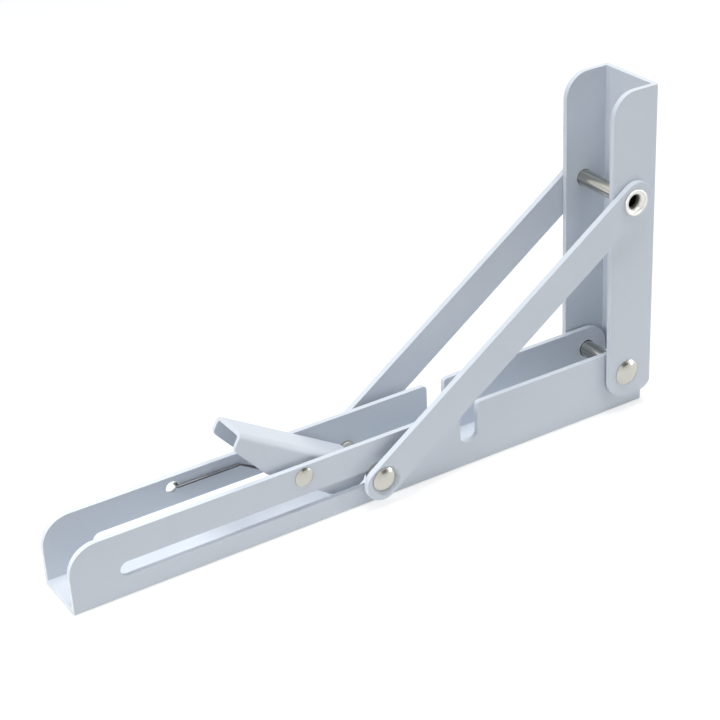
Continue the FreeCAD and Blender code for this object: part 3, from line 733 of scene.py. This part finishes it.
def stand(place, target):
    """A matrix at a place, turned so that its -Z points at a target."""
    turn = (Vector(target) - Vector(place)).to_track_quat("-Z", "Y")
    return Matrix.Translation(place) @ turn.to_matrix().to_4x4()


def add_lamp(name, plan, energy):
    """A soft lamp aimed at its target: a square one, or a spot where its plan has a cone."""
    lamp = bpy.data.lights.new(name, "SPOT" if plan.cone else "AREA")
    if plan.cone:
        lamp.spot_size = math.radians(plan.cone)
        lamp.spot_blend = SPOT_BLEND
        lamp.shadow_soft_size = plan.size
    else:
        lamp.size = plan.size
    lamp.energy = energy
    new_object(name, lamp).matrix_world = stand(plan.place, plan.target)


class BRACKET_OT_channels(bpy.types.Operator):
    """Round the cut edges of the shelf arm and the wall channel and coat them with paint"""

    bl_idname = "bracket.channels"
    bl_label = "Channels"

    def execute(self, context):
        sizes = context.scene.bracket_sizes
        paint = finish_of("Powder coat", paint_material)
        for node in ("shelf_arm", "wall_channel"):
            piece = soften_node(node, f"painted_{node}", sizes.sheet_edge, sizes.edge_steps, paint)
        return {"FINISHED"}


class BRACKET_OT_struts(bpy.types.Operator):
    """Round the cut edges of both struts and coat them with paint"""

    bl_idname = "bracket.struts"
    bl_label = "Struts"

    def execute(self, context):
        sizes = context.scene.bracket_sizes
        paint = finish_of("Powder coat", paint_material)
        for side in SIDES:
            piece = soften_node(
                f"{side}_strut", f"painted_{side}_strut", sizes.sheet_edge, sizes.edge_steps, paint,
            )
        return {"FINISHED"}


class BRACKET_OT_lever(bpy.types.Operator):
    """Round the cut edges of the release lever and coat it with paint"""

    bl_idname = "bracket.lever"
    bl_label = "Release Lever"

    def execute(self, context):
        sizes = context.scene.bracket_sizes
        paint = finish_of("Powder coat", paint_material)
        piece = soften_node(
            "release_lever", "painted_lever", sizes.lever_edge, sizes.edge_steps, paint,
        )
        return {"FINISHED"}


class BRACKET_OT_rivets(bpy.types.Operator):
    """Turn the fold rivet, the lever rivet and the two slide rivets with their domed heads"""

    bl_idname = "bracket.rivets"
    bl_label = "Rivets"

    def execute(self, context):
        sizes = context.scene.bracket_sizes
        # The heads take the nickel plate and the shafts the darker shaft material, which is painted
        # shade.
        metals = [
            finish_of("Nickel plate", nickel_material), finish_of("Drawn shaft", shaft_material),
        ]
        carriers = {
            "fold_rivet": ("wall_channel", sizes.fold_shaft),
            "lever_rivet": ("shelf_arm", sizes.lever_shaft),
        }
        for node, (carrier, shaft) in carriers.items():
            seats = [corner.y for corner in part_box(carrier)]
            tops = [corner.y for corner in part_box(node)]
            near, far = (
                dome_points(half_width(node), seat, sizes.head_rim, top)
                for seat, top in zip(seats, tops)
            )
            profile = near[::-1] + [(shaft, seat) for seat in seats] + far
            spin_piece(f"turned_{node}", node, profile, metals, shaft)
        stop = sizes.slide_shaft + sizes.collar
        for side, way in SIDES.items():
            node = f"{side}_slide_rivet"
            inner, top = cross_ends(node, way)
            seat = cross_ends(f"{side}_slide_washer", way)[1] + way * sizes.strut_gauge
            collar = cross_ends("shelf_arm", way)[1] - way * sizes.sheet_gauge
            profile = [
                (0.0, inner), (stop - sizes.head_rim, inner), (stop, inner + way * sizes.head_rim),
                (stop, collar), (sizes.slide_shaft, collar), (sizes.slide_shaft, seat),
            ]
            profile += dome_points(half_width(node), seat, sizes.head_rim, top)
            spin_piece(f"turned_{node}", node, profile, metals, sizes.slide_shaft)
        return {"FINISHED"}


class BRACKET_OT_tube(bpy.types.Operator):
    """Turn the hollow top tube and roll its two rims over the struts"""

    bl_idname = "bracket.tube"
    bl_label = "Top Tube"

    def execute(self, context):
        sizes = context.scene.bracket_sizes
        # The barrel's darker material is painted shade.
        drawn_and_shaded = finish_of("Drawn shaft", shaft_material)
        # The rims' paler material is a painted highlight.
        rim_highlight = finish_of("Burnished rim", rim_material)
        low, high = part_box("top_tube")
        radius = half_width("top_tube")
        bore = radius - sizes.tube_wall
        slim = radius - sizes.hole_shade
        barrel = [(bore, low.y), (slim, low.y), (slim, high.y), (bore, high.y), (bore, low.y)]
        spin_piece("turned_top_tube", "top_tube", barrel, [drawn_and_shaded])
        for side, way in SIDES.items():
            node = f"{side}_tube_rim"
            inner, top = cross_ends(node, way)
            face = cross_ends(f"{side}_strut", way)[1]
            rim = half_width(node)
            lip = abs(top - face) / 2
            crest = face + way * lip
            throat = rim - 2 * lip
            profile = [(bore, inner), (radius, inner), (radius, face), (rim - lip, face)]
            profile += arc_points((rim - lip, crest), (lip, way * lip), -90, 180, LIP_STEPS)
            flare = (bore - throat, crest - inner)
            profile += arc_points((throat, inner), flare, 90, 0, THROAT_STEPS)[1:]
            spin_piece(f"rolled_{node}", node, profile, [rim_highlight])
        return {"FINISHED"}


class BRACKET_OT_washers(bpy.types.Operator):
    """Soften the washers' rims and the lever's sleeve, and plate them"""

    bl_idname = "bracket.washers"
    bl_label = "Washers and Sleeve"

    def execute(self, context):
        sizes = context.scene.bracket_sizes
        nickel = finish_of("Nickel plate", nickel_material)
        nodes = [f"{side}_{place}_washer" for place in ("fold", "slide", "lever") for side in SIDES]
        for node in nodes + ["lever_sleeve"]:
            piece = soften_node(node, f"plated_{node}", sizes.washer_edge, SMALL_STEPS, nickel)
        return {"FINISHED"}


class BRACKET_OT_spring(bpy.types.Operator):
    """Give the lever's spring its bare wire, with a short leg that turns with the lever"""

    bl_idname = "bracket.spring"
    bl_label = "Lever Spring"

    def execute(self, context):
        sizes = context.scene.bracket_sizes
        wire = finish_of("Spring wire", spring_material)
        low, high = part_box("lever_sleeve")
        axis = (low + high) / 2

        def on_leg(point):
            reach = math.hypot(point.x - axis.x, point.z - axis.z)
            return point.y < axis.y and reach > sizes.coil_reach

        coil = soften_node(
            "lever_spring", "wound_lever_spring", sizes.wire_edge, SMALL_STEPS, wire,
        )
        mesh = coil.data.copy()
        mesh.name = "short_spring_leg"
        keep_faces(mesh, on_leg)
        keep_faces(coil.data, lambda point: not on_leg(point))
        leg = new_object("short_spring_leg", mesh)
        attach(leg, body_of_node("release_lever"))
        return {"FINISHED"}


class BRACKET_OT_stage(bpy.types.Operator):
    """Lay the pale floor and set up the grey card, the soft lamps, the sky and the camera"""

    bl_idname = "bracket.stage"
    bl_label = "Stage"

    def execute(self, context):
        scene = context.scene
        stage = scene.bracket_stage
        add_sheet(
            "floor", FLOOR_SIZE, floor_material(),
            Matrix.Translation((0.0, 0.0, -stage.floor_drop)),
        )
        card = add_sheet(
            "dark_card", CARD_SIZE, card_material(stage.card_shade),
            stand(CARD_PLACE, CARD_TARGET),
        )
        card.visible_camera = False
        for name, plan in LAMPS.items():
            add_lamp(name, plan, getattr(stage, plan.strength))
        self.make_sky(scene, stage.sky)
        self.place_camera(scene, stage)
        scene.view_settings.view_transform = "Standard"
        return {"FINISHED"}

    def make_sky(self, scene, strength):
        """An even pale light all round, which shows as white."""
        scene.world = bpy.data.worlds.new("Studio")
        tree, surface = empty_tree(scene.world, "ShaderNodeOutputWorld")
        even = new_node(
            tree, "ShaderNodeBackground", {"Color": SKY_COLOUR, "Strength": strength},
        )
        white = new_node(tree, "ShaderNodeBackground", {"Color": WHITE, "Strength": 1.0})
        show_background(tree, surface, even, white)

    def place_camera(self, scene, stage):
        """The photograph's own viewpoint, lens and tilt."""
        camera = bpy.data.cameras.new("view")
        camera.sensor_width = SENSOR_WIDTH
        camera.lens = stage.lens
        camera.clip_start = CLIP_START
        holder = new_object("view", camera)
        heading, dip, roll = stage.heading, stage.dip, stage.roll
        ahead = Vector((
            math.sin(heading) * math.cos(dip), math.cos(heading) * math.cos(dip), -math.sin(dip),
        ))
        level = Vector((math.cos(heading), -math.sin(heading), 0.0))
        above = level.cross(ahead)
        right = level * math.cos(roll) + above * math.sin(roll)
        up = above * math.cos(roll) - level * math.sin(roll)
        turn = Matrix((right, up, -ahead)).transposed().to_4x4()
        holder.matrix_world = Matrix.Translation(stage.eye) @ turn
        scene.camera = holder


STEPS = (
    BRACKET_OT_channels,
    BRACKET_OT_struts,
    BRACKET_OT_lever,
    BRACKET_OT_rivets,
    BRACKET_OT_tube,
    BRACKET_OT_washers,
    BRACKET_OT_spring,
    BRACKET_OT_stage,
)


class BRACKET_PT_steps(bpy.types.Panel):
    """The bracket's steps, in order"""

    bl_label = "Folding Shelf Bracket"
    bl_idname = "BRACKET_PT_steps"
    bl_space_type = "VIEW_3D"
    bl_region_type = "UI"
    bl_category = "Bracket"

    def draw(self, context):
        for step in STEPS:
            self.layout.operator(step.bl_idname)


GROUPS = {
    "bracket_sizes": BracketSizes,
    "bracket_finish": BracketFinish,
    "bracket_stage": BracketStage,
}


def register():
    """Add the bracket's settings, operators and panel."""
    for name, group in GROUPS.items():
        bpy.utils.register_class(group)
        setattr(bpy.types.Scene, name, bpy.props.PointerProperty(type=group))
    for step in STEPS:
        bpy.utils.register_class(step)
    bpy.utils.register_class(BRACKET_PT_steps)


def unregister():
    """Take the panel, operators and settings away again."""
    bpy.utils.unregister_class(BRACKET_PT_steps)
    for step in reversed(STEPS):
        bpy.utils.unregister_class(step)
    for name, group in GROUPS.items():
        delattr(bpy.types.Scene, name)
        bpy.utils.unregister_class(group)


def main():
    """Build the bracket and its stage."""
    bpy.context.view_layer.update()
    register()
    for step in STEPS:
        area, action = step.bl_idname.split(".")
        getattr(getattr(bpy.ops, area), action)()


if __name__ == "__main__":
    main()
